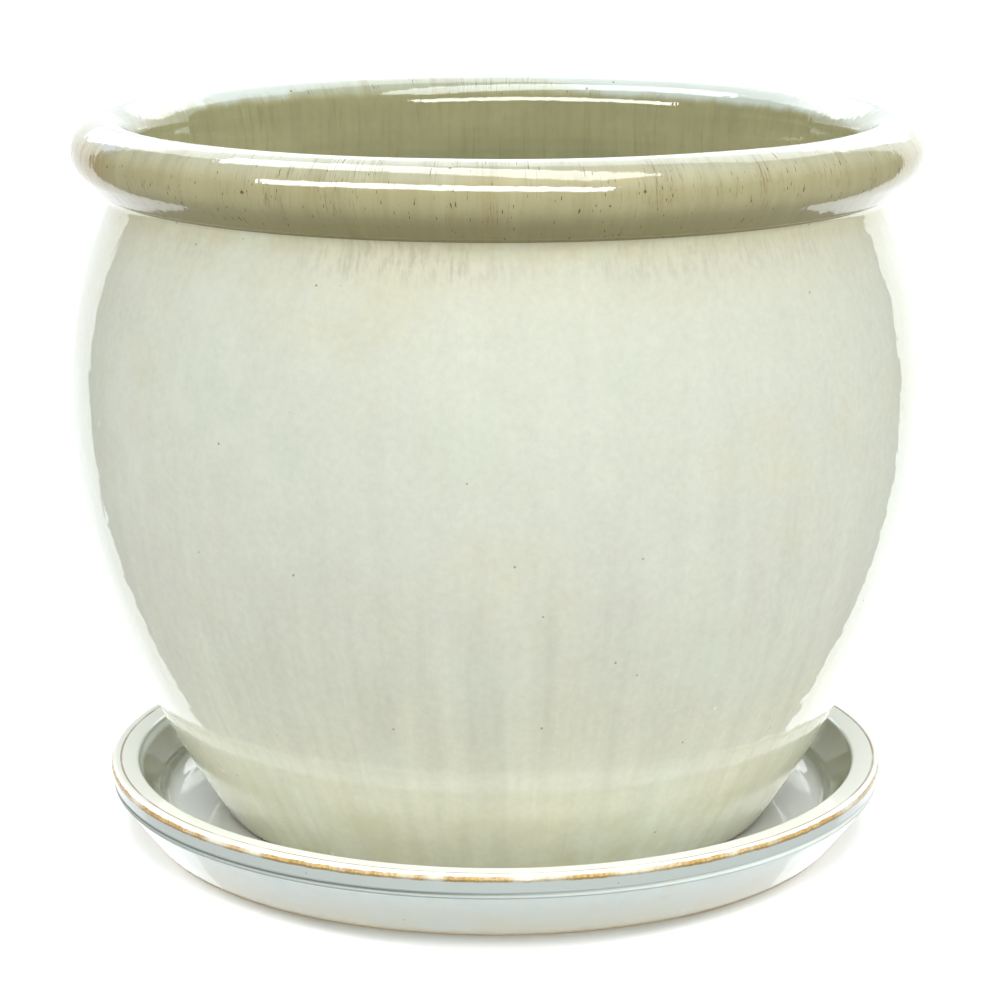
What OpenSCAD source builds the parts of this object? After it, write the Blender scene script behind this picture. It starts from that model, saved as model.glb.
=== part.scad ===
// Round glazed pot for a bonsai or a house plant, standing in its own drip saucer.
// The pot is one thrown body: a swelling wall, a thick rolled rim, a floor with a
// drain hole and a foot ring. It stands loose in the saucer and lifts straight out.
// A square of drain mesh covers the hole inside, and a bent wire clip holds it down.
// Millimetres, +Z up. The origin is the centre of the saucer's foot, on the ground.

/* [Pot wall] */
// Outside radius at the widest line of the belly
belly_r = 155; // [150:1:160]
// Height of the widest line above the ground
belly_z = 164; // [160:1:168]
// Radius of the arc from the widest line up to the neck
shoulder_arc = 164; // [160:1:175]
// Radius of the arc from the widest line down to the hip
hip_arc = 226; // [215:1:240]
// Angle that the hip arc turns through before the base arc takes over
hip_angle = 19; // [16:1:22]
// Radius of the arc from the hip down to the foot
base_arc = 328; // [310:1:350]
// Thickness of the wall
wall = 9; // [8:0.5:10]

/* [Rolled rim] */
// Radius of the rim's centre line
rim_r = 141; // [140:0.5:142]
// Height of the rim's fat upper round
rim_z = 251.5; // [250:0.1:253]
// Radius of the fat upper round
rim_fat = 11.5; // [11:0.1:12]
// Radius of the thin lower round, where the roll is tucked under
rim_tuck = 3.6; // [3.4:0.1:4]
// How far the thin round's centre lies outside the fat round's centre
rim_tuck_out = 1.2; // [1:0.1:1.4]
// Drop from the fat round's centre to the thin round's centre
rim_drop = 10.5; // [10.3:0.1:10.7]
// Height at which the inside of the wall runs into the roll
neck_z = 239; // [237:0.5:241]
// Radius of the hollow between the roll and the shoulder
neck_fillet = 3; // [2:0.5:4]

/* [Floor and foot] */
// Thickness of the pot's floor
pot_floor = 10; // [9:0.5:12]
// Radius of the inside corner between floor and wall
inner_corner = 16; // [12:1:20]
// Depth of the recess inside the foot ring
foot_recess = 4; // [3:0.5:5]
// Width of the foot ring
foot_ring = 14; // [12:1:18]
// Radius of the drain hole
drain_r = 11; // [10:0.5:12]
// Number of seep notches through the foot ring
notches = 3; // [2:1:6]
// Width of a seep notch
notch_w = 10; // [6:1:14]
// Height of a seep notch
notch_h = 3; // [2:0.5:3]

/* [Saucer] */
// Outside radius of the saucer's lip
lip_r = 142.9; // [141:0.1:145]
// Height of the saucer
lip_z = 27; // [25:0.5:30]
// Width of the flat lip
lip_w = 10.3; // [9:0.1:12]
// Fall of the lip from its outer to its inner edge
lip_fall = 0.6; // [0:0.1:1]
// Radius of the lip's outer bead
lip_bead = 2; // [1.5:0.1:2.5]
// Radius of the lip's inner edge
lip_edge = 1.2; // [0.8:0.1:1.5]
// Height of the groove below the lip band
groove_z = 19.5; // [18:0.5:20]
// Depth of the groove
groove_depth = 1.2; // [0.8:0.1:1.5]
// Radius of the foot on the ground
saucer_foot_r = 127.3; // [124:0.1:130]
// Height of the saucer's floor above the ground
saucer_floor = 8; // [7:0.5:9]
// Radius of the saucer's flat floor
saucer_floor_r = 118; // [116:0.5:120]
// Radius of the round between floor and inside wall
saucer_cove = 7; // [5:0.5:8]
// Inside radius of the foot ring under the saucer
saucer_ring_r = 108; // [100:1:114]
// Depth of the recess under the saucer
saucer_recess = 2; // [1:0.5:2.5]

/* [Drain screen and clip] */
// Number of mesh openings along one side
mesh_cells = 13; // [11:2:15]
// Distance from one mesh opening to the next
mesh_pitch = 4; // [4:0.1:4.2]
// Width of one mesh bar
mesh_bar = 1; // [0.8:0.1:1.2]
// Thickness of the mesh
mesh_t = 1.4; // [1.2:0.1:1.8]
// Thickness of the clip's wire
wire_d = 1.6; // [1.4:0.1:1.8]
// Length of each foot of the clip under the pot's floor
clip_foot = 16; // [14:1:20]

/* [Hidden] */
$fn = 64;
turned_fn = 360;
glaze = "#d9dcc2";
saucer_glaze = "#dce6df";
mesh_plastic = "#2b2f2c";
wire_metal = "#b9bcc0";

// Heights of the pot's foot, the roof of its recess, its floor and the mesh
foot_z = saucer_floor;
recess_z = foot_z + foot_recess;
floor_z = recess_z + pot_floor;
mesh_top = floor_z + mesh_t;

// Centres of the wall's three arcs, each tangent to the next
shoulder_c = [belly_r - shoulder_arc, belly_z];
hip_c = [belly_r - hip_arc, belly_z];
base_c = hip_c + (hip_arc - base_arc) * [cos(hip_angle), -sin(hip_angle)];

// The inside corner touches the floor and the inner face of the base arc
corner_c = [
    base_c.x + leg(base_arc - wall - inner_corner, base_c.y - floor_z - inner_corner),
    floor_z + inner_corner
];

// The roll is a fat round over a thin one, with a hollow between it and the shoulder
fat_c = [rim_r, rim_z];
tuck_c = [rim_r + rim_tuck_out, rim_z - rim_drop];
tangent = heading(fat_c, tuck_c) + acos((rim_fat - rim_tuck) / norm(tuck_c - fat_c));
hollow_c = meeting(shoulder_c, shoulder_arc + neck_fillet, tuck_c, rim_tuck + neck_fillet);

// Other leg of a right-angled triangle
function leg(hypotenuse, side) = sqrt(hypotenuse * hypotenuse - side * side);

// Direction from one point to another
function heading(from, to) = atan2(to.y - from.y, to.x - from.x);

// Direction of the point at height z on the right side of a circle
function at_height(c, r, z) = asin((z - c.y) / r);

// Point at distance ra from a and rb from b, on the right of the line from a to b
function meeting(a, ra, b, rb) =
    let (
        d = norm(b - a),
        u = (b - a) / d,
        along = (ra * ra - rb * rb + d * d) / (2 * d)
    ) a + along * u + leg(ra, along) * [u.y, -u.x];

// Points along an arc, no more than 10 degrees or 8 mm apart
function arc(c, r, from, to) =
    let (steps = ceil(abs(to - from) * max(1 / 10, r / 458)))
        [for (i = [0:steps]) let (a = from + (to - from) * i / steps) c + r * [cos(a), sin(a)]];

// Outer face of the pot, from the foot up to the crest of the roll
function pot_outside() = concat(
    [[base_c.x + leg(base_arc, base_c.y - foot_z) - 1, foot_z]],
    arc(base_c, base_arc, at_height(base_c, base_arc, foot_z + 1), -hip_angle),
    arc(hip_c, hip_arc, -hip_angle, 0),
    arc(shoulder_c, shoulder_arc, 0, heading(shoulder_c, hollow_c)),
    arc(hollow_c, neck_fillet, heading(shoulder_c, hollow_c) + 180, heading(hollow_c, tuck_c)),
    arc(tuck_c, rim_tuck, heading(tuck_c, hollow_c), tangent),
    arc(fat_c, rim_fat, tangent, 180)
);

// Inner face of the pot, from the neck down to the drain hole
function pot_inside() = concat(
    arc(shoulder_c, shoulder_arc - wall, at_height(shoulder_c, shoulder_arc - wall, neck_z), 0),
    arc(hip_c, hip_arc - wall, 0, -hip_angle),
    arc(base_c, base_arc - wall, -hip_angle, heading(base_c, corner_c)),
    arc(corner_c, inner_corner, heading(base_c, corner_c), -90),
    [[drain_r, floor_z]]
);

module pot() {
    ring_r = base_c.x + leg(base_arc, base_c.y - foot_z) - foot_ring;
    color(glaze) difference() {
        rotate_extrude($fn = turned_fn) polygon(concat(
            [[drain_r, recess_z], [ring_r, recess_z], [ring_r, foot_z]],
            pot_outside(),
            pot_inside()
        ));
        for (i = [0:notches - 1])
            rotate(-90 + i * 360 / notches)
                translate([ring_r - 2, -notch_w / 2, foot_z - 1])
                    cube([foot_ring + 4, notch_w, notch_h + 1]);
    }
}

// Foot, sloping wall, groove, lip, inside wall and cove of the saucer, as one outline
module saucer() {
    bead_c = [lip_r - lip_bead, lip_z - lip_bead];
    edge_c = [lip_r - lip_w + lip_edge, lip_z - lip_fall - lip_edge];
    groove_c = [lip_r - 0.3, groove_z];
    cove_c = [saucer_floor_r, saucer_floor + saucer_cove];
    color(saucer_glaze) rotate_extrude($fn = turned_fn) polygon(concat(
        [[saucer_ring_r, saucer_recess], [saucer_ring_r, 0], [saucer_foot_r - 1, 0]],
        [[saucer_foot_r + 0.2, 1]],
        arc(groove_c, groove_depth, -130, -240),
        arc(bead_c, lip_bead, 0, 90),
        arc(edge_c, lip_edge, 90, 180),
        arc(cove_c, saucer_cove, 0, -90),
        [[0, saucer_floor], [0, saucer_recess]]
    ));
}

module drain_screen() {
    side = mesh_cells * mesh_pitch + mesh_bar;
    gap = mesh_pitch - mesh_bar;
    reach = (mesh_cells - 1) / 2;
    color(mesh_plastic) translate([0, 0, floor_z]) difference() {
        translate([-side / 2, -side / 2, 0]) cube([side, side, mesh_t]);
        for (i = [-reach:reach], j = [-reach:reach])
            translate([i * mesh_pitch - gap / 2, j * mesh_pitch - gap / 2, -1])
                cube([gap, gap, mesh_t + 2]);
    }
}

// Part of a ring of wire about +Z, from +X round towards +Y
module ring(r, angle) {
    rotate_extrude(angle = angle) translate([r, 0]) circle(d = wire_d);
}

// One half of the clip: half an S on the mesh, a leg through it, and a foot bent outwards
module clip_half() {
    leg_x = 2 * mesh_pitch;
    top = mesh_top + wire_d / 2;
    low = recess_z - wire_d / 2;
    translate([0, 0, top]) rotate([-90, 0, 0]) cylinder(d = wire_d, h = wire_d);
    translate([leg_x / 2, wire_d, top]) ring(leg_x / 2, 180);
    translate([leg_x, wire_d, top - wire_d]) rotate([0, -90, 0]) rotate(-90) ring(wire_d, 90);
    translate([leg_x, 0, low + wire_d]) cylinder(d = wire_d, h = top - low - 2 * wire_d);
    translate([leg_x + wire_d, 0, low + wire_d]) rotate([90, 180, 0]) ring(wire_d, 90);
    translate([leg_x + wire_d, 0, low]) rotate([0, 90, 0])
        cylinder(d = wire_d, h = clip_foot - wire_d);
}

module screen_clip() {
    color(wire_metal) for (turn = [0, 180]) rotate(turn) clip_half();
}

pot();
saucer();
drain_screen();
screen_clip();
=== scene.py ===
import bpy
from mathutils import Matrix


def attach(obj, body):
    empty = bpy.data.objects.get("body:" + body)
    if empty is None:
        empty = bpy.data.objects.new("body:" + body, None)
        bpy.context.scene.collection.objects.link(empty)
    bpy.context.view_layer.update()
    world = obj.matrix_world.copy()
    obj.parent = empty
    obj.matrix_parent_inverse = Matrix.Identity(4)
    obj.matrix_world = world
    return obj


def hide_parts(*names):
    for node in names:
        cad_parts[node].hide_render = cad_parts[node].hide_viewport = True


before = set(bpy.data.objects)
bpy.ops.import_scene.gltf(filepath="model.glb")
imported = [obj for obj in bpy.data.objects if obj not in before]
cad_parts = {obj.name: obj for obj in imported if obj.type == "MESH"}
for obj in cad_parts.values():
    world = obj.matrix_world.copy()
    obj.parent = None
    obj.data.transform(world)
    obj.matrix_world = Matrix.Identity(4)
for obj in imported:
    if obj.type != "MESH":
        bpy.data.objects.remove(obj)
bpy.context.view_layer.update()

import math

import bpy
import numpy as np
from mathutils import Vector

MM = 0.001
# Steps round the axis of every turned mesh
SEGMENTS = 360

# ---------------------------------------------------------------- driving values, millimetres
BELLY_R, BELLY_Z = 155.0, 164.0
SHOULDER_ARC, HIP_ARC, HIP_ANGLE, BASE_ARC, WALL = 164.0, 226.0, 19.0, 328.0, 9.0
RIM_R, RIM_Z, RIM_FAT, RIM_TUCK = 141.0, 251.5, 11.5, 3.6
RIM_TUCK_OUT, RIM_DROP = 1.2, 10.5
NECK_Z, NECK_FILLET = 239.0, 3.0
FOOT_Z, RECESS_Z, FLOOR_Z = 8.0, 12.0, 22.0
INNER_CORNER, FOOT_RING, DRAIN_R = 16.0, 14.0, 11.0
NOTCHES, NOTCH_W, NOTCH_H = 3, 10.0, 3.0
LIP_R, LIP_Z, LIP_W, LIP_FALL, LIP_BEAD, LIP_EDGE = 142.9, 27.0, 10.3, 0.6, 2.0, 1.2
GROOVE_Z, GROOVE_DEPTH = 19.5, 1.2
SAUCER_FOOT_R, SAUCER_FLOOR, SAUCER_FLOOR_R, SAUCER_COVE = 127.3, 8.0, 118.0, 7.0
SAUCER_RING_R, SAUCER_RECESS = 108.0, 2.0


# ---------------------------------------------------------------- outlines
# Straight pieces that round one corner of an outline
CORNER_STEPS = 4


def leg(hypotenuse, side):
    """Other leg of a right-angled triangle."""
    return math.sqrt(hypotenuse * hypotenuse - side * side)


def heading(start, end):
    """Direction from one point to another, in degrees."""
    return math.degrees(math.atan2(end[1] - start[1], end[0] - start[0]))


def polar(centre, radius, angle):
    """Point on a circle, at an angle in degrees."""
    a = math.radians(angle)
    return (centre[0] + radius * math.cos(a), centre[1] + radius * math.sin(a))


def arc(centre, radius, start, end, step):
    """Points on an arc, about step apart, both ends included."""
    n = max(2, math.ceil(math.radians(abs(end - start)) * radius / step))
    return [polar(centre, radius, start + (end - start) * i / n) for i in range(n + 1)]


def at_height(centre, radius, z):
    """Angle of the point at height z on the right side of a circle."""
    return math.degrees(math.asin((z - centre[1]) / radius))


def meeting(a, ra, b, rb):
    """Point at ra from a and rb from b, on the right of the line from a to b."""
    d = math.dist(a, b)
    u = ((b[0] - a[0]) / d, (b[1] - a[1]) / d)
    along = (ra * ra - rb * rb + d * d) / (2 * d)
    side = leg(ra, along)
    return (a[0] + along * u[0] + side * u[1], a[1] + along * u[1] - side * u[0])


def line(start, end, step):
    """Points from start to end, about step apart, the end left out."""
    n = max(1, round(math.dist(start, end) / step))
    return [
        (start[0] + (end[0] - start[0]) * i / n, start[1] + (end[1] - start[1]) * i / n)
        for i in range(n)
    ]


def rounded(corners, step):
    """A polyline whose corners (r, z, radius) are rounded, filled in with points about step apart."""
    points = []
    for i, (x, y, radius) in enumerate(corners):
        here = (x, y)
        if radius == 0 or i in (0, len(corners) - 1):
            knots = [here]
        else:
            corner = Vector(here)
            a = corner + (Vector(corners[i - 1][:2]) - corner).normalized() * radius
            b = corner + (Vector(corners[i + 1][:2]) - corner).normalized() * radius
            curve = [k / CORNER_STEPS for k in range(CORNER_STEPS + 1)]
            knots = [tuple(a * (1 - t) ** 2 + corner * 2 * t * (1 - t) + b * t * t) for t in curve]
        for knot in knots:
            if points:
                points += line(points.pop(), knot, step)
            points.append(knot)
    return points


SHOULDER_C = (BELLY_R - SHOULDER_ARC, BELLY_Z)
HIP_C = (BELLY_R - HIP_ARC, BELLY_Z)
BASE_C = polar(HIP_C, HIP_ARC - BASE_ARC, -HIP_ANGLE)
CORNER_C = (
    BASE_C[0] + leg(BASE_ARC - WALL - INNER_CORNER, BASE_C[1] - FLOOR_Z - INNER_CORNER),
    FLOOR_Z + INNER_CORNER,
)
FAT_C = (RIM_R, RIM_Z)
TUCK_C = (RIM_R + RIM_TUCK_OUT, RIM_Z - RIM_DROP)
TANGENT = heading(FAT_C, TUCK_C)
TANGENT += math.degrees(math.acos((RIM_FAT - RIM_TUCK) / math.dist(FAT_C, TUCK_C)))
HOLLOW_C = meeting(SHOULDER_C, SHOULDER_ARC + NECK_FILLET, TUCK_C, RIM_TUCK + NECK_FILLET)
FOOT_R = BASE_C[0] + leg(BASE_ARC, BASE_C[1] - FOOT_Z)


def pot_outline():
    """Closed outline of the pot as (r, z), and the numbers of the points where the roll starts and ends."""
    ring_r = FOOT_R - FOOT_RING
    under = rounded(
        [
            (DRAIN_R, FLOOR_Z - 2, 0),
            (DRAIN_R, RECESS_Z, 1.0),
            (ring_r, RECESS_Z, 2.0),
            (ring_r, FOOT_Z, 1.2),
            (FOOT_R - 0.4, FOOT_Z, 1.6),
            (*polar(BASE_C, BASE_ARC, at_height(BASE_C, BASE_ARC, FOOT_Z + 2.5)), 0),
        ],
        3.5,
    )
    low = at_height(BASE_C, BASE_ARC, FOOT_Z + 2.5)
    to_hollow = heading(SHOULDER_C, HOLLOW_C)
    outside = arc(BASE_C, BASE_ARC, low, -HIP_ANGLE, 2.6)[1:]
    outside += arc(HIP_C, HIP_ARC, -HIP_ANGLE, 0, 2.6)[1:]
    outside += arc(SHOULDER_C, SHOULDER_ARC, 0, to_hollow, 2.0)[1:]
    hollow = arc(HOLLOW_C, NECK_FILLET, to_hollow + 180, heading(HOLLOW_C, TUCK_C), 0.45)[1:]
    roll = arc(TUCK_C, RIM_TUCK, heading(TUCK_C, HOLLOW_C), TANGENT, 0.45)[1:]
    roll += line(roll.pop(), polar(FAT_C, RIM_FAT, TANGENT), 0.5)
    roll += arc(FAT_C, RIM_FAT, TANGENT, 180, 0.5)
    inner = SHOULDER_ARC - WALL
    ridge = polar(SHOULDER_C, inner, at_height(SHOULDER_C, inner, NECK_Z))
    below = polar(SHOULDER_C, inner, at_height(SHOULDER_C, inner, NECK_Z) - 6)
    inside = rounded([(*roll.pop(), 0), (*ridge, 10.0), (*below, 0)], 1.2)
    inside += arc(SHOULDER_C, inner, at_height(SHOULDER_C, inner, NECK_Z) - 6, 0, 4)[1:]
    inside += arc(HIP_C, HIP_ARC - WALL, 0, -HIP_ANGLE, 4)[1:]
    inside += arc(BASE_C, BASE_ARC - WALL, -HIP_ANGLE, heading(BASE_C, CORNER_C), 4)[1:]
    inside += arc(CORNER_C, INNER_CORNER, heading(BASE_C, CORNER_C), -90, 2.5)[1:]
    floor = rounded(
        [(CORNER_C[0], FLOOR_Z, 0), (DRAIN_R, FLOOR_Z, 1.2), (DRAIN_R, FLOOR_Z - 2, 0)], 6
    )
    start = len(under) + len(outside) + len(hollow) // 2
    end = len(under) + len(outside) + len(hollow) + len(roll) - 4
    points = under + outside + hollow + roll + inside + floor[1:-1]
    return np.array(points), start, end


def saucer_outline():
    """Outline of the saucer as (r, z), from the axis underneath round to the axis on top."""
    bead_c = (LIP_R - LIP_BEAD, LIP_Z - LIP_BEAD)
    edge_c = (LIP_R - LIP_W + LIP_EDGE, LIP_Z - LIP_FALL - LIP_EDGE)
    groove_c = (LIP_R - 0.3, GROOVE_Z)
    cove_c = (SAUCER_FLOOR_R, SAUCER_FLOOR + SAUCER_COVE)
    groove = arc(groove_c, GROOVE_DEPTH, -130, -240, 0.25)
    under = rounded(
        [
            (0.0, SAUCER_RECESS, 0),
            (SAUCER_RING_R, SAUCER_RECESS, 1.2),
            (SAUCER_RING_R, 0, 0.8),
            (SAUCER_FOOT_R, 0, 0.5),
            (*groove[0], 0),
        ],
        2.2,
    )
    bead = arc(bead_c, LIP_BEAD, 0, 90, 0.3)
    edge = arc(edge_c, LIP_EDGE, 90, 180, 0.3)
    cove = arc(cove_c, SAUCER_COVE, 0, -90, 0.9)
    points = under[:-1] + groove[:-1]
    points += line(groove[-1], bead[0], 0.35) + bead[:-1]
    points += line(bead[-1], edge[0], 0.7) + edge[:-1]
    points += line(edge[-1], cove[0], 1.0) + cove[:-1]
    points += line(cove[-1], (0.0, SAUCER_FLOOR), 3.0) + [(0.0, SAUCER_FLOOR)]
    return np.array(points)


# ---------------------------------------------------------------- hand-made shape
def waves(theta, z, seed, count, turns, heights):
    """Smooth seeded noise over angle and height, about -1 to 1."""
    rng = np.random.default_rng(seed)
    total = 0.0
    for _ in range(count):
        around = rng.integers(turns[0], turns[1] + 1)
        length = rng.uniform(*heights)
        total = total + np.sin(around * theta + 2 * np.pi * z / length + rng.uniform(0, 2 * np.pi))
    return total / math.sqrt(count)


def smooth(low, high, x):
    """0 below low, 1 above high, smooth in between."""
    t = np.clip((x - low) / (high - low), 0, 1)
    return t * t * (3 - 2 * t)


def turned_grid(outline, relief):
    """Grid of points, rings by segments by xyz in millimetres, turned from the outline with its relief."""
    along = np.roll(outline, -1, 0) - np.roll(outline, 1, 0)
    normal = np.stack([along[:, 1], -along[:, 0]], 1)
    normal /= np.linalg.norm(normal, axis=1)[:, None]
    theta = np.arange(SEGMENTS) * 2 * np.pi / SEGMENTS
    r, z = (outline[:, i][:, None] + 0 * theta[None, :] for i in (0, 1))
    theta = theta[None, :] + 0 * r
    shift, swell, rise = relief(theta, r, z)
    r = r + swell + normal[:, 0][:, None] * shift
    z = z + rise + normal[:, 1][:, None] * shift
    return np.stack([r * np.cos(theta), r * np.sin(theta), z], 2)


def pot_relief(theta, r, z):
    """Throwing rings on the wall, a slight wobble of the whole form, and the seep notches in the foot."""
    wall = smooth(20, 60, z) * (1 - smooth(222, 236, z))
    inner = (r < np.interp(z, [22, 60, 164, 240], [95, 122, 150, 135])) & (z > FLOOR_Z + 0.1)
    rings = np.sin(2 * np.pi * z / 8.5 + theta) * (0.6 + 0.4 * np.sin(z / 17.0 + 2 * theta))
    shift = wall * rings * np.where(inner, 0.12, 0.022)
    shift = shift + wall * 0.05 * waves(theta, z, 11, 9, (2, 7), (60, 160))
    roll = smooth(238, 246, z)
    shift = shift + roll * 0.06 * waves(theta, z, 5, 7, (3, 11), (40, 90))
    lift = smooth(40, 160, z)
    swell = lift * (0.06 * np.sin(2 * theta + 0.7) + 0.03 * np.sin(3 * theta + 2.1) - 0.14)
    swell = swell + smooth(215, 245, z) * 0.5 * np.cos(theta)
    rise = roll * (0.05 * np.sin(2 * theta + 2.4) + 0.03 * np.sin(3 * theta) - 0.16)
    rise = rise + notch_rise(theta, r, z)
    return shift, swell, rise


def notch_rise(theta, r, z):
    """Lifts the foot's underside at each seep notch, and squeezes the foot above it."""
    total = 0.0 * theta
    for i in range(NOTCHES):
        middle = math.radians(-90 + i * 360 / NOTCHES)
        across = np.abs(np.angle(np.exp(1j * (theta - middle)))) * (FOOT_R - FOOT_RING / 2)
        total = total + NOTCH_H * (1 - smooth(NOTCH_W / 2 - 1.1, NOTCH_W / 2 + 1.1, across))
    on_foot = smooth(FOOT_R - FOOT_RING - 3.0, FOOT_R - FOOT_RING - 0.5, r)
    return total * on_foot * np.clip((FOOT_Z + 8 - z) / 8, 0, 1) * (r > DRAIN_R + 5)


def saucer_relief(theta, r, z):
    """A slight wobble of the lip and a wall that isn't quite even."""
    out = smooth(60, 125, r)
    wall = smooth(1, 5, z) * out
    shift = wall * 0.05 * waves(theta, z, 23, 7, (2, 9), (30, 90))
    swell = out * (0.10 * np.sin(2 * theta + 2.0) + 0.05 * np.sin(3 * theta + 0.3) - 0.20)
    swell = swell - out * 0.65 * np.cos(theta)
    lip = smooth(16, 25, z) * out
    rise = lip * (0.08 * np.sin(2 * theta + 0.6) + 0.04 * np.sin(3 * theta + 1.9) - 0.14)
    return shift, swell, rise


# ---------------------------------------------------------------- meshes
def grid_normals(points, closed):
    """Unit normals of the grid, pointing out of the piece."""
    around = np.roll(points, -1, 1) - np.roll(points, 1, 1)
    if closed:
        along = np.roll(points, -1, 0) - np.roll(points, 1, 0)
    else:
        along = np.gradient(points, axis=0)
    normal = np.cross(around, along)
    length = np.linalg.norm(normal, axis=2, keepdims=True)
    return normal / np.maximum(length, 1e-9)


def ring_mesh(name, points, normals, rings, poles=False):
    """Mesh object from the given rings of the grid. With poles, the first and last shrink to a point."""
    grid = points[rings]
    shade = normals[rings]
    n = SEGMENTS
    inner = slice(1, -1) if poles else slice(None)
    verts = grid[inner].reshape(-1, 3)
    shades = shade[inner].reshape(-1, 3)
    count = len(verts) // n
    faces = []
    for i in range(count - 1):
        low, high = i * n, (i + 1) * n
        faces += [(low + j, low + (j + 1) % n, high + (j + 1) % n, high + j) for j in range(n)]
    if poles:
        first, last = len(verts), len(verts) + 1
        verts = np.vstack([verts, [[0, 0, grid[0, 0, 2]], [0, 0, grid[-1, 0, 2]]]])
        shades = np.vstack([shades, [[0, 0, -1], [0, 0, 1]]])
        top = (count - 1) * n
        faces += [(first, (j + 1) % n, j) for j in range(n)]
        faces += [(last, top + j, top + (j + 1) % n) for j in range(n)]
    mesh = bpy.data.meshes.new(name)
    mesh.from_pydata((verts * MM).tolist(), [], faces)
    mesh.polygons.foreach_set("use_smooth", [True] * len(mesh.polygons))
    mesh.normals_split_custom_set_from_vertices(shades.tolist())
    made = bpy.data.objects.new(name, mesh)
    bpy.context.scene.collection.objects.link(made)
    return made


def build_pot():
    outline, start, end = pot_outline()
    points = turned_grid(outline, pot_relief)
    normals = grid_normals(points, True)
    count = len(outline)
    rim = ring_mesh("pot_rim", points, normals, list(range(start, end + 1)))
    rest = [i % count for i in range(end, count + start + 1)]
    wall = ring_mesh("pot_wall", points, normals, rest)
    return rim, wall


def build_saucer():
    outline = saucer_outline()
    points = turned_grid(outline, saucer_relief)
    return ring_mesh(
        "saucer_turned", points, grid_normals(points, False), list(range(len(outline))), poles=True
    )


# ---------------------------------------------------------------- materials
def srgb(r, g, b):
    """Linear colour from 0-255 display values."""
    linear = [c / 255 / 12.92 if c <= 10 else ((c / 255 + 0.055) / 1.055) ** 2.4 for c in (r, g, b)]
    return (*linear, 1.0)


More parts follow.
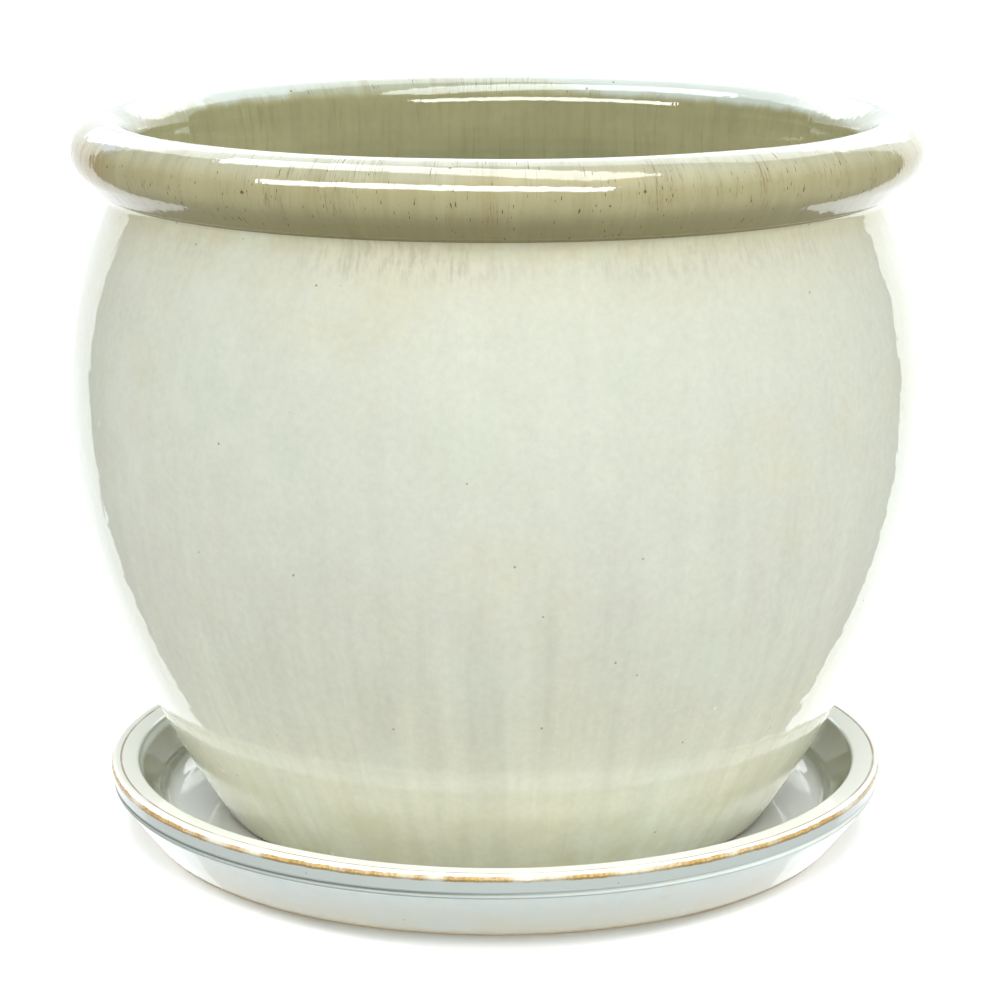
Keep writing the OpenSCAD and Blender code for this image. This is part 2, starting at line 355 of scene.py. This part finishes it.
class Paint:
    """One node material. Each method adds nodes and returns the socket that carries the result."""

    def __init__(self, name):
        self.material = bpy.data.materials.new(name)
        self.material.use_nodes = True
        self.tree = self.material.node_tree
        self.shader = self.tree.nodes["Principled BSDF"]
        place = self.node("TexCoord").outputs["Object"]
        self.place = self.node("VectorMath", {0: place, "Scale": 1000}, operation="SCALE").outputs[0]
        split = self.node("SeparateXYZ", {0: self.place})
        self.x, self.y, self.z = split.outputs
        flat = self.plus(self.times(self.x, self.x), self.times(self.y, self.y))
        self.r = self.math("MAXIMUM", self.math("SQRT", flat), 0.01)
        self.ux = self.math("DIVIDE", self.x, self.r)
        self.uy = self.math("DIVIDE", self.y, self.r)

    def node(self, kind, inputs=None, **settings):
        """A new node, with values or links for its inputs."""
        made = self.tree.nodes.new("ShaderNode" + kind)
        for key, value in settings.items():
            setattr(made, key, value)
        for key, value in (inputs or {}).items():
            self.put(made.inputs[key], value)
        return made

    def put(self, socket, value):
        """Links a socket, or sets its plain value."""
        if isinstance(value, bpy.types.NodeSocket):
            self.tree.links.new(value, socket)
        else:
            socket.default_value = value

    def set(self, **values):
        """Inputs of the shader, with underscores for the spaces in their names."""
        for key, value in values.items():
            self.put(self.shader.inputs[key.replace("_", " ")], value)

    def math(self, operation, *values):
        return self.node("Math", dict(enumerate(values)), operation=operation).outputs[0]

    def times(self, *values):
        total = values[0]
        for value in values[1:]:
            total = self.math("MULTIPLY", total, value)
        return total

    def plus(self, *values):
        total = values[0]
        for value in values[1:]:
            total = self.math("ADD", total, value)
        return total

    def invert(self, value):
        return self.math("SUBTRACT", 1.0, value)

    def rise(self, value, low, high):
        """0 below low, 1 above high, smooth in between."""
        ends = {"Value": value, "From Min": low, "From Max": high}
        return self.node("MapRange", ends, interpolation_type="SMOOTHSTEP").outputs[0]

    def window(self, value, low, high, soft):
        """1 between low and high, fading to 0 over soft outside them."""
        return self.times(
            self.rise(value, low - soft, low), self.invert(self.rise(value, high, high + soft))
        )

    def noise(self, scale, seed, detail=2.0, roughness=0.5, vector=None):
        """Noise from 0 to 1 about 0.5. The scale is features per millimetre."""
        moved = self.node(
            "VectorMath", {0: vector or self.place, 1: (seed * 37.0, seed * 11.0, seed * 53.0)},
            operation="ADD",
        ).outputs[0]
        values = {"Vector": moved, "Scale": scale, "Detail": detail, "Roughness": roughness}
        return self.node("TexNoise", values).outputs[0]

    def meridian(self, around, along, seed, radius=150.0, detail=2.0, roughness=0.5):
        """Noise in streaks that run up the wall, around mm wide and along mm long."""
        vector = self.node(
            "CombineXYZ",
            {
                0: self.times(self.ux, radius / around),
                1: self.times(self.uy, radius / around),
                2: self.times(self.z, 1.0 / along),
            },
        ).outputs[0]
        return self.noise(1.0, seed, detail, roughness, vector)

    def specks(self, pitch, size, share, seed):
        """Round dots about size mm across, in a share of the cells pitch mm wide, from 0 to 1."""
        moved = self.node(
            "VectorMath", {0: self.place, 1: (seed * 5.3, seed * 7.1, seed * 3.7)}, operation="ADD"
        ).outputs[0]
        cells = self.node("TexVoronoi", {"Vector": moved, "Scale": 1.0 / pitch})
        chosen = self.math(
            "LESS_THAN", self.node("SeparateColor", {0: cells.outputs["Color"]}).outputs[0], share
        )
        edge = size / pitch / 2
        dot = self.invert(self.rise(cells.outputs["Distance"], edge * 0.6, edge * 1.3))
        return self.times(dot, chosen)

    def ramp(self, value, *stops):
        """Colour ramp. Each stop is (position, colour), and the value runs from the first to the last."""
        low, high = stops[0][0], stops[-1][0]
        share = self.node("MapRange", {"Value": value, "From Min": low, "From Max": high}).outputs[0]
        made = self.node("ValToRGB", {0: share})
        elements = made.color_ramp.elements
        while len(elements) < len(stops):
            elements.new(0.5)
        for element, (position, _) in zip(elements, stops):
            element.position = (position - low) / (high - low)
        for element, (_, colour) in zip(elements, stops):
            element.color = colour
        return made.outputs[0]

    def mix(self, share, a, b, blend="MIX"):
        return self.node(
            "Mix", {0: share, 6: a, 7: b}, data_type="RGBA", blend_type=blend, clamp_factor=True
        ).outputs[2]

    def shade(self, colour, share):
        """The colour, lightened or darkened by a factor of one plus the share."""
        factor = self.math("ADD", share, 1.0)
        grey = self.node("CombineXYZ", {0: factor, 1: factor, 2: factor}).outputs[0]
        return self.mix(1.0, colour, grey, "MULTIPLY")

    def bump(self, height, depth):
        """Normal for a height of 0 to 1 that stands for depth millimetres."""
        return self.node("Bump", {"Height": height, "Strength": 1.0, "Distance": depth * MM}).outputs[0]


def centred(paint, value, amount):
    """Noise of 0 to 1 as a swing about 0, amount wide."""
    return paint.times(paint.math("SUBTRACT", value, 0.5), amount)


def inside_glaze_painted_light(p):
    """Olive glaze of the pot's inside, with brown runs, partly darkened as painted shade and painted
    lighter below the neck for light bounced about inside. Wall and roll share it, so no seam shows.
    """
    # The ramp is painted lighter below the neck, standing in for light bounced about inside
    colour = p.ramp(
        p.z,
        (22, srgb(180, 180, 150)),
        (190, srgb(196, 196, 163)),
        (226, srgb(188, 187, 150)),
        (240, srgb(171, 169, 130)),
        (250, srgb(164, 162, 122)),
    )
    runs = p.meridian(4, 60, 41, detail=4, roughness=0.6)
    colour = p.shade(colour, centred(p, runs, 0.22))
    colour = p.shade(colour, centred(p, p.noise(0.05, 42, 3, 0.6), 0.30))
    colour = p.shade(colour, centred(p, p.noise(0.35, 43, 3, 0.6), 0.12))
    runny = p.rise(p.meridian(2.6, 30, 44, detail=4, roughness=0.6), 0.54, 0.72)
    brown = p.times(runny, p.rise(p.z, 190, 236))
    return p.mix(p.times(brown, 0.26), colour, srgb(128, 114, 70))


def wall_paint():
    """Celadon glaze of the wall, inside and out, with a bare foot, and painted sheen, reflection, glints
    and shade.
    """
    p = Paint("pot_wall_glaze_painted_light")
    # Colour by height: the lighter, bluer upper belly is partly painted sheen, and the darkening into the
    # hollow under the roll is partly painted shade
    outer = p.ramp(
        p.z,
        (8, srgb(214, 212, 186)),
        (24, srgb(217, 217, 193)),
        (44, srgb(219, 220, 198)),
        (70, srgb(219, 221, 200)),
        (120, srgb(218, 221, 204)),
        (190, srgb(222, 226, 210)),
        (216, srgb(222, 225, 207)),
        (229, srgb(220, 220, 198)),
        (238, srgb(204, 200, 164)),
    )
    # Cloudy patches of thicker, greener and thinner, yellower glaze
    cloud = p.noise(0.020, 3, 4, 0.6)
    outer = p.mix(p.times(p.rise(cloud, 0.5, 0.75), 0.8), outer, srgb(219, 226, 207))
    outer = p.mix(p.times(p.rise(cloud, 0.5, 0.25), 0.8), outer, srgb(222, 221, 196))
    # Streaks that ran down, strongest in the lower half
    low = p.invert(p.rise(p.z, 60, 190))
    runs = p.meridian(7, 90, 8, detail=3)
    outer = p.shade(outer, centred(p, runs, p.plus(p.times(low, 0.22), 0.06)))
    # Fine mottle of the glaze
    outer = p.shade(outer, centred(p, p.noise(0.4, 12, 4, 0.65), 0.20))
    outer = p.shade(outer, centred(p, p.noise(0.07, 13, 3, 0.6), 0.10))
    # Ochre patches near the foot, where the glaze is thin
    thin = p.times(p.invert(p.rise(p.z, 14, 58)), p.rise(p.noise(0.035, 21, 3, 0.6), 0.45, 0.7))
    outer = p.mix(p.times(thin, 0.5), outer, srgb(202, 194, 152))
    # Iron that bled a few millimetres below the roll
    bleed = p.rise(p.meridian(1.8, 7, 31, detail=3, roughness=0.6), 0.42, 0.68)
    reach = p.window(p.z, 228, 240, 7)
    front = p.invert(p.rise(p.uy, -0.6, -0.3))
    left_of_front = p.times(p.window(p.ux, -0.42, -0.08, 0.08), front)
    patchy = p.plus(left_of_front, p.rise(p.noise(0.014, 33, 1), 0.55, 0.7))
    outer = p.mix(p.times(bleed, reach, patchy, 0.16), outer, srgb(150, 142, 108))
    # A painted blue-white reflection, high on the left of the front
    painted_reflection = p.times(p.window(p.ux, -0.85, -0.45, 0.15), p.window(p.z, 150, 215, 30))
    painted_reflection = p.times(painted_reflection, p.invert(p.rise(p.uy, -0.2, 0.2)), p.rise(p.noise(0.05, 35, 3, 0.6), 0.45, 0.68))
    outer = p.mix(p.times(painted_reflection, 0.42), outer, srgb(230, 234, 220))
    # Pinholes and specks; the pale specks are painted white glints, painted highlights
    dark = p.specks(8.0, 0.9, 0.20, 2)
    outer = p.mix(p.times(dark, 0.65), outer, srgb(120, 112, 90))
    pale = p.specks(13.0, 1.6, 0.07, 6)
    outer = p.mix(p.times(pale, 0.7), outer, srgb(246, 246, 238))

    inner = inside_glaze_painted_light(p)
    # Inside lies inward of a line down the middle of the wall, and above the floor. A ramp draws the
    # line: its grey is the radius as a share of widest
    widest = 200
    line_down = ((16, 90), (30, 104), (60, 124.5), (100, 141), (164, 150.5), (205, 145), (240, 132))
    middle = p.ramp(p.z, *[(z, (*[r / widest] * 3, 1)) for z, r in line_down])
    inward = p.rise(p.math("SUBTRACT", p.times(middle, widest), p.r), -0.5, 0.5)
    inward = p.times(inward, p.rise(p.z, 19, 21))
    colour = p.mix(inward, outer, inner)

    bare_height = p.plus(9.4, centred(p, p.noise(0.06, 51, 2), 2.5))
    bare = p.invert(p.rise(p.z, p.math("SUBTRACT", bare_height, 0.4), p.plus(bare_height, 0.4)))
    under = p.times(p.invert(p.rise(p.r, 86, 87)), p.invert(p.rise(p.z, 19, 20)))
    bare = p.math("MAXIMUM", bare, under)
    clay = p.mix(p.noise(0.3, 53, 4, 0.7), srgb(176, 150, 116), srgb(202, 182, 150))
    clay = p.shade(clay, centred(p, p.noise(1.6, 54, 3, 0.7), 0.25))
    colour = p.mix(bare, colour, clay)

    # A few fine waves in the glaze, so that the edges of reflections run ragged
    ripple = p.noise(0.20, 61, 1, 0.4)
    slow = p.noise(0.05, 62, 2, 0.5)
    grain = p.noise(2.2, 63, 2, 0.6)
    rough = p.times(grain, p.plus(0.0004, p.times(bare, 0.10)))
    height = p.plus(p.times(ripple, 0.08), p.times(slow, 0.18), rough)
    height = p.math("SUBTRACT", height, p.times(dark, 0.05))
    p.set(Base_Color=colour, IOR=1.52)
    p.set(Roughness=p.plus(0.03, p.times(bare, 0.75), centred(p, p.noise(0.08, 64, 3), 0.02)))
    p.set(Normal=p.bump(height, 1.0))
    return p.material


def rim_paint():
    """Glaze of the roll: pale on the crest, gold to olive below, darkened on the underside with painted
    shade, with iron streaks.
    """
    p = Paint("pot_rim_glaze_painted_shade")
    up = p.math("SUBTRACT", p.z, RIM_Z)
    out = p.math("SUBTRACT", p.r, RIM_R)
    angle = p.times(p.math("ARCTAN2", up, out), 180 / math.pi)
    wander = p.plus(angle, centred(p, p.meridian(9, 30, 71, detail=3), 16))
    # Colour by angle round the roll: darker towards the underside, partly olive glaze and partly painted
    # shade
    colour = p.ramp(
        wander,
        (-95, srgb(134, 126, 82)),
        (-55, srgb(148, 141, 97)),
        (-20, srgb(173, 167, 125)),
        (10, srgb(184, 178, 137)),
        (30, srgb(201, 198, 163)),
        (50, srgb(210, 210, 182)),
        (75, srgb(222, 226, 202)),
        (110, srgb(222, 230, 212)),
        (140, srgb(198, 204, 176)),
        (158, srgb(178, 175, 133)),
        (180, srgb(170, 166, 124)),
    )
    colour = p.shade(colour, centred(p, p.meridian(3.2, 24, 73, detail=4, roughness=0.65), 0.22))
    colour = p.shade(colour, centred(p, p.noise(0.018, 74, 2), 0.12))
    # Broad soft streaks, some paler and some browner
    streaks = p.meridian(7, 60, 79, detail=4, roughness=0.6)
    colour = p.shade(colour, centred(p, streaks, 0.28))
    colour = p.mix(p.times(p.rise(streaks, 0.48, 0.30), 0.28), colour, srgb(166, 146, 92))
    # At the back the glaze pooled pale over the crest, and further down inside on the right and far left
    reach = p.plus(
        108.0, p.times(p.rise(p.ux, 0.10, 0.32), 52.0), p.times(p.rise(p.ux, -0.35, -0.75), 40.0),
        centred(p, p.meridian(8, 60, 87, detail=3, roughness=0.6), 60),
    )
    pooled = p.times(
        p.rise(p.uy, -0.1, 0.3), p.rise(angle, 30, 60),
        p.invert(p.rise(p.math("SUBTRACT", angle, reach), -14, 14)),
    )
    colour = p.mix(p.times(pooled, 0.85), colour, srgb(218, 230, 222))
    # Fine hairs of iron that run with the slope, and short darker ticks
    edge = p.times(p.rise(p.math("ABSOLUTE", p.ux), 0.90, 0.96), p.rise(angle, 10, 40))
    hairs = p.rise(p.meridian(0.55, 7, 75, detail=3, roughness=0.65), 0.54, 0.68)
    region = p.rise(p.noise(0.045, 76, 3, 0.6), 0.42, 0.62)
    region = p.times(region, p.invert(pooled), p.invert(edge))
    colour = p.mix(p.times(hairs, region, 0.55), colour, srgb(122, 94, 50))
    ticks = p.rise(p.meridian(0.7, 3.0, 77, detail=1), 0.70, 0.76)
    colour = p.mix(p.times(ticks, p.invert(pooled), 0.85), colour, srgb(88, 62, 32))
    dots = p.specks(5.5, 1.1, 0.14, 9)
    colour = p.mix(p.times(dots, 0.8), colour, srgb(92, 68, 38))
    # The far left of the roll broke orange-brown, with a pale blue patch next to it
    front = p.invert(p.rise(p.uy, 0.25, 0.5))
    left = p.times(p.invert(p.rise(p.ux, -0.93, -0.83)), front, p.invert(p.rise(angle, 25, 50)))
    rust = p.rise(p.meridian(1.1, 14, 85, detail=3, roughness=0.65), 0.42, 0.6)
    colour = p.mix(p.times(left, rust, 0.75), colour, srgb(168, 122, 62))
    blue = p.times(p.window(p.ux, -0.86, -0.78, 0.05), p.window(angle, 40, 80, 15), front)
    blue = p.times(blue, p.rise(p.noise(0.09, 86, 3, 0.6), 0.45, 0.62))
    colour = p.mix(p.times(blue, 0.7), colour, srgb(208, 220, 222))
    # Gold where the glaze breaks over the outer shoulder of the roll, most of it right of the front
    gold = p.times(p.window(angle, 26, 48, 9), p.window(p.ux, 0.0, 0.26, 0.12), front)
    colour = p.mix(p.times(gold, p.rise(p.noise(0.05, 78, 3), 0.3, 0.6), 0.27), colour, srgb(214, 194, 138))
    # The lower inside of the roll wraps to negative angles on the inward side
    below = p.times(p.rise(p.times(out, -1.0), 1.0, 3.0), p.rise(p.times(up, -1.0), -0.5, 0.5))
    inward = p.math("MAXIMUM", below, p.rise(wander, 146, 166))
    colour = p.mix(inward, colour, inside_glaze_painted_light(p))
    runs = p.meridian(3.0, 26, 81, detail=2)
    ripple = p.noise(0.25, 82, 1, 0.4)
    slow = p.noise(0.045, 83, 2, 0.5)
    height = p.plus(p.times(runs, 0.085), p.times(ripple, 0.09), p.times(slow, 0.14))
    height = p.math("SUBTRACT", height, p.times(dots, 0.04))
    p.set(Base_Color=colour, IOR=1.52, Roughness=0.025, Normal=p.bump(height, 1.0))
    return p.material


def saucer_paint():
    """Paler mint glaze of the saucer, breaking gold and brown on the lip's outer edge, with painted light
    on the lip's top and floor and painted shade in the groove.
    """
    p = Paint("saucer_glaze_painted_light")
    base = p.mix(p.noise(0.03, 91, 3), srgb(214, 224, 216), srgb(226, 232, 224))
    colour = p.shade(base, centred(p, p.noise(0.4, 92, 3, 0.6), 0.05))
    # The outer wall below the groove is opalescent blue-green, ochre at the foot
    below = p.times(p.invert(p.rise(p.z, 18.6, 19.6)), p.rise(p.r, 124, 126))
    wall = p.ramp(
        p.plus(p.z, centred(p, p.noise(0.12, 93, 3), 3)),
        (0, srgb(188, 185, 160)),
        (3, srgb(202, 203, 184)),
        (10, srgb(207, 213, 202)),
        (19, srgb(216, 228, 224)),
    )
    mottle = p.noise(0.05, 103, 4, 0.6)
    wall = p.mix(p.times(p.rise(mottle, 0.50, 0.68), 0.5), wall, srgb(206, 206, 184))
    wall = p.mix(p.times(p.rise(mottle, 0.48, 0.32), 0.5), wall, srgb(202, 213, 209))
    colour = p.mix(below, colour, wall)
    # Inside, inward of a line that leans between the two faces: greyer, olive on the wall; the floor is
    # painted lighter than the glaze, painted light and reflection where the pot shades it
    leaning = p.math("SUBTRACT", p.r, p.times(p.z, 0.26))
    inside = p.invert(p.rise(leaning, 125.3, 126.1))
    deep = p.times(inside, p.invert(p.rise(p.z, 24.6, 26.0)))
    olive = p.ramp(p.z, (8, srgb(238, 242, 241)), (10, srgb(206, 210, 200)), (24, srgb(162, 162, 138)))
    colour = p.mix(deep, colour, olive)
    # The upright band under the bead is a shade darker
    outward = p.rise(p.r, 140.6, 141.4)
    band = p.times(p.window(p.z, 20.2, 24.6, 0.4), outward)
    colour = p.mix(p.times(band, 0.9), colour, srgb(160, 169, 165))
    # The lip's top is painted palest: its glaze, and painted light where the pot's belly shades it
    top = p.times(p.rise(p.z, 25.8, 26.4), p.rise(p.r, 132, 133))
    colour = p.mix(p.times(top, 0.92), colour, srgb(241, 244, 236))
    # Gold break below the bead, with a brown lower edge, and fine brown lines at both edges of the lip
    ragged = p.plus(p.z, centred(p, p.meridian(5, 40, 94, radius=142, detail=5, roughness=0.65), 1.1))
    gold = p.times(p.window(ragged, 24.7, 26.1, 0.35), outward)
    patch = p.rise(p.meridian(14, 60, 95, radius=142, detail=3), 0.30, 0.55)
    grit = p.rise(p.noise(1.1, 102, 3, 0.65), 0.38, 0.62)
    tone = p.mix(p.meridian(3, 9, 96, radius=142, detail=4), srgb(142, 104, 50), srgb(208, 182, 126))
    tone = p.shade(tone, centred(p, grit, 0.5))
    colour = p.mix(p.times(gold, p.plus(0.4, p.times(patch, 0.6))), colour, tone)
    rust = p.times(p.window(ragged, 24.6, 25.1, 0.3), outward)
    colour = p.mix(p.times(rust, p.plus(0.35, p.times(patch, 0.4))), colour, srgb(108, 92, 46))
    inner_line = p.times(p.window(p.r, 139.5, 140.0, 0.25), p.rise(p.z, 24.5, 25.5))
    colour = p.mix(p.times(inner_line, p.plus(0.35, p.times(patch, 0.4))), colour, srgb(140, 108, 66))
    # The groove is painted dark, a painted shadow under its step, and its lower lip a painted shade that
    # holds back a highlight
    groove = p.times(p.window(p.z, 19.3, 19.9, 0.2), outward)
    colour = p.mix(p.times(groove, 0.9), colour, srgb(72, 78, 72))
    groove_lip_painted_shade = p.times(p.window(p.z, 18.1, 19.2, 0.25), outward)
    colour = p.mix(p.times(groove_lip_painted_shade, 0.85), colour, srgb(142, 149, 144))
    dots = p.specks(8.0, 0.9, 0.10, 3)
    colour = p.mix(p.times(dots, 0.5), colour, srgb(150, 130, 96))
    # Bare clay underneath
    bare = p.invert(p.rise(p.plus(p.z, centred(p, p.noise(0.08, 97, 2), 0.8)), 0.9, 1.3))
    under = p.times(p.invert(p.rise(p.r, 108.5, 109.5)), p.invert(p.rise(p.z, 4, 6)))
    bare = p.math("MAXIMUM", bare, under)
    clay = p.mix(p.noise(0.3, 98, 4, 0.7), srgb(184, 168, 138), srgb(202, 188, 160))
    colour = p.mix(bare, colour, clay)
    ripple = p.noise(0.18, 99, 2, 0.5)
    slow = p.noise(0.05, 100, 2)
    grain = p.noise(2.0, 101, 2)
    height = p.plus(p.times(ripple, 0.035), p.times(slow, 0.14), p.times(grain, bare, 0.10))
    p.set(Base_Color=colour, IOR=1.52)
    dull = p.times(p.window(p.z, 17.5, 20.8, 0.3), outward)
    p.set(Roughness=p.plus(0.035, p.times(bare, 0.75), p.times(dull, 0.55)), Normal=p.bump(height, 1.0))
    return p.material


def mesh_paint():
    """Black moulded polyethylene, a little dusty."""
    p = Paint("mesh_plastic_finish")
    dust = p.rise(p.noise(0.12, 111, 3, 0.6), 0.45, 0.8)
    colour = p.mix(p.times(dust, 0.35), (0.014, 0.016, 0.015, 1), (0.07, 0.062, 0.05, 1))
    p.set(Base_Color=colour, Roughness=p.plus(0.42, p.times(dust, 0.25)), IOR=1.5)
    p.set(Normal=p.bump(p.noise(3.0, 112, 2), 0.03))
    return p.material


def wire_paint():
    """Drawn aluminium wire, satin, dulled in patches."""
    p = Paint("clip_wire_finish")
    dull = p.noise(0.6, 121, 3, 0.6)
    colour = p.mix(p.rise(dull, 0.4, 0.7), (0.70, 0.70, 0.71, 1), (0.52, 0.515, 0.51, 1))
    p.set(Base_Color=colour, Metallic=1.0, Roughness=p.plus(0.24, p.times(dull, 0.2)))
    p.set(Normal=p.bump(p.noise(5.0, 122, 2), 0.01))
    return p.material


def wear(piece, material):
    """The piece gets the material, in place of any it had."""
    piece.data.materials.clear()
    piece.data.materials.append(material)


# ---------------------------------------------------------------- the object
pot_rim, pot_wall = build_pot()
for piece, material in ((pot_rim, rim_paint()), (pot_wall, wall_paint())):
    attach(piece, "pot")
    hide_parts("pot")
    wear(piece, material)

saucer = build_saucer()
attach(saucer, "saucer")
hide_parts("saucer")
wear(saucer, saucer_paint())

wear(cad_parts["drain_screen"], mesh_paint())
wear(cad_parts["screen_clip"], wire_paint())


# ---------------------------------------------------------------- studio
COOL = (0.94, 0.98, 1.0)


def build_floor():
    """Wide sheet of white paper. Reflections and bounced light leave it out, and have stand-ins."""
    width, front, back = 6.0, -2.0, 14.0
    mesh = bpy.data.meshes.new("studio_floor")
    corners = [(-width, front, 0), (width, front, 0), (width, back, 0), (-width, back, 0)]
    mesh.from_pydata(corners, [], [(0, 1, 2, 3)])
    made = bpy.data.objects.new("studio_floor", mesh)
    bpy.context.scene.collection.objects.link(made)
    paper = bpy.data.materials.new("studio_paper")
    paper.use_nodes = True
    shader = paper.node_tree.nodes["Principled BSDF"]
    for socket, value in (
        ("Base Color", (0.93, 0.93, 0.925, 1)),
        ("Roughness", 1.0),
        ("Specular IOR Level", 0.0),
        ("Emission Color", (1, 1, 1, 1)),
        ("Emission Strength", 0.04),
    ):
        shader.inputs[socket].default_value = value
    mesh.materials.append(paper)
    made.visible_glossy = False
    made.visible_diffuse = False
    return made


def add_light(name, kind, place, aim, diffuse=True, glossy=True):
    """A lamp that the camera doesn't see, placed and aimed."""
    light = bpy.data.lights.new(name, kind)
    made = bpy.data.objects.new(name, light)
    made.location = place
    made.rotation_euler = (Vector(aim) - Vector(place)).to_track_quat("-Z", "Y").to_euler()
    made.visible_camera = False
    made.visible_diffuse = diffuse
    made.visible_glossy = glossy
    bpy.context.scene.collection.objects.link(made)
    return made


def card(name, place, aim, size, radiance, colour=(1, 1, 1)):
    """A bright card that shows in the glaze's reflections only."""
    made = add_light(name, "AREA", place, aim, diffuse=False)
    made.data.shape = "RECTANGLE"
    made.data.size, made.data.size_y = size
    # A lamp of this power has the wanted radiance, whatever its size
    made.data.energy = radiance * 4 * size[0] * size[1]
    made.data.color = colour
    return made


def wall_card(name, start, end, radiance):
    """An upright card between two points of the floor, seen from the object."""
    middle = Vector(((start[0] + end[0]) / 2, (start[1] + end[1]) / 2, 0.1))
    along = Vector((end[0] - start[0], end[1] - start[1], 0))
    aim = middle + along.cross(Vector((0, 0, 1)))
    return card(name, middle, aim, (along.length, 2.3), radiance, COOL)


def sky(up, around):
    """Direction towards the sky, from its elevation and its azimuth; 0 is the front, 90 the right."""
    up, around = math.radians(up), math.radians(around)
    flat = math.cos(up)
    return (flat * math.sin(around), -flat * math.cos(around), math.sin(up))


def dome(name, place, strength, angle, colour=(1, 1, 1)):
    """Soft, even light from one side of the sky, with no reflection of its own."""
    made = add_light(name, "SUN", place, (0, 0, 0), glossy=False)
    made.data.energy = strength * math.pi
    made.data.angle = math.radians(angle)
    made.data.color = colour
    return made


def build_world():
    """White for the camera, a soft glow for diffuse light; in reflections a dim room above pale paper."""
    world = bpy.data.worlds.new("studio_room")
    world.use_nodes = True
    tree = world.node_tree
    tree.nodes.clear()
    path = tree.nodes.new("ShaderNodeLightPath")
    output = tree.nodes.new("ShaderNodeOutputWorld")
    shades = []
    room = (0.95, 0.98, 1.0)
    for colour, strength in ((room, 0.12), (room, 0.12), ((1, 1, 1), 1.05)):
        back = tree.nodes.new("ShaderNodeBackground")
        back.inputs[0].default_value = (*colour, 1)
        back.inputs[1].default_value = strength
        shades.append(back.outputs[0])
    # In reflections the room turns into paper from the horizon down to 30 degrees below it
    direction = tree.nodes.new("ShaderNodeSeparateXYZ")
    tree.links.new(tree.nodes.new("ShaderNodeTexCoord").outputs["Generated"], direction.inputs[0])
    brightness = tree.nodes.new("ShaderNodeMapRange")
    brightness.interpolation_type = "SMOOTHSTEP"
    for socket, value in (("From Min", -0.5), ("From Max", 0.0), ("To Min", 0.60), ("To Max", 0.12)):
        brightness.inputs[socket].default_value = value
    tree.links.new(direction.outputs["Z"], brightness.inputs["Value"])
    tree.links.new(brightness.outputs["Result"], shades[1].node.inputs["Strength"])
    result = shades[0]
    for switch, shade in (("Is Glossy Ray", shades[1]), ("Is Camera Ray", shades[2])):
        mix = tree.nodes.new("ShaderNodeMixShader")
        tree.links.new(path.outputs[switch], mix.inputs[0])
        tree.links.new(result, mix.inputs[1])
        tree.links.new(shade, mix.inputs[2])
        result = mix.outputs[0]
    tree.links.new(result, output.inputs[0])
    bpy.context.scene.world = world


def link_only(light, pieces, blockers=()):
    """The light falls on these pieces and on nothing else. With blockers, only they throw shadows in it."""
    for end, members in (("receivers", pieces), ("blockers", blockers)):
        if not members:
            continue
        group = bpy.data.collections.new(light.name + "_" + end)
        for piece in members:
            group.objects.link(piece)
        if end == "receivers":
            light.light_linking.receiver_collection = group
        else:
            light.light_linking.blocker_collection = group


floor = build_floor()
build_world()
RIM_MIDDLE = (0, 0, 0.25)
POT = [pot_rim, pot_wall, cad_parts["drain_screen"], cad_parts["screen_clip"]]
GLAZED = POT + [saucer]
# The saucer gets the paper behind the pot at this share of its brightness
LOW_SHARE = 0.30

# Even light on the object: name, elevation and azimuth in degrees (0 is the front), strength and spread
for name, up, around, strength, spread in (
    ("sky_front", 30, 0, 0.08, 40),
    ("sky_right", 16, 64, 0.67, 40),
    ("sky_left", 16, -64, 0.57, 40),
    ("sky_back", 35, 180, 0.34, 70),
    ("sky_top", 78, 0, 0.08, 70),
    ("paper_bounce", -12, 0, 0.33, 60),
):
    link_only(dome(name, sky(up, around), strength, spread), GLAZED, GLAZED)
link_only(dome("lip_light", sky(66, 0), 0.98, 60), [saucer])
link_only(dome("saucer_bounce", sky(-25, 0), 0.16, 60), [saucer], GLAZED)
# The paper has lights of its own, so that the contact shadow stays tight
link_only(dome("paper_light", sky(74, 0), 0.96, 46), [floor])
for name, around in (("paper_right", 112), ("paper_left", -112)):
    link_only(dome(name, sky(35, around), 0.95, 20), [floor])

# Cards: an overhead panel, white paper behind and beside the object, a strip light in front
card("overhead", (-0.12, -0.15, 1.55), RIM_MIDDLE, (2.2, 0.58), 7.0, (0.88, 0.94, 1.0))
card("back_top", (0, 1.0, 1.22), RIM_MIDDLE, (2.2, 1.5), 2.3, COOL)
for name, start, end, radiance in (
    ("back_left", (-1.108, 0.903), (-0.28, 1.3), 1.10),
    ("back_middle", (-0.28, 1.3), (0.28, 1.3), 1.05),
    ("back_right", (0.28, 1.3), (1.146, 0.864), 1.35),
):
    link_only(wall_card(name, start, end, radiance), POT)
    link_only(wall_card(name + "_low", start, end, radiance * LOW_SHARE), [saucer])
link_only(card("front_strip", (-0.42, -1.35, 1.02), RIM_MIDDLE, (3.0, 0.42), 13.0), [pot_rim])
# Light that has bounced about inside the pot
inside = card("inside_glow", (0, 0, 0.12), RIM_MIDDLE, (0.12, 0.12), 0.9)
inside.visible_diffuse, inside.visible_glossy = True, False
link_only(inside, POT)
link_only(card("floor_glow", (0, 0, 0.0006), (0, 0, 1), (1.6, 1.6), 0.6), [saucer])

CAMERA_PITCH = 13.2
camera = bpy.data.objects.new("photo_camera", bpy.data.cameras.new("photo_camera"))
camera.location = (0.0011, -1.100, 0.3785)
camera.rotation_euler = (math.radians(90 - CAMERA_PITCH), 0, 0)
camera.data.lens = 110.7
camera.data.sensor_width = 36
camera.data.clip_start = 0.05
bpy.context.scene.collection.objects.link(camera)
bpy.context.scene.camera = camera
bpy.context.scene.view_settings.view_transform = "Standard"
bpy.context.scene.view_settings.look = "None"
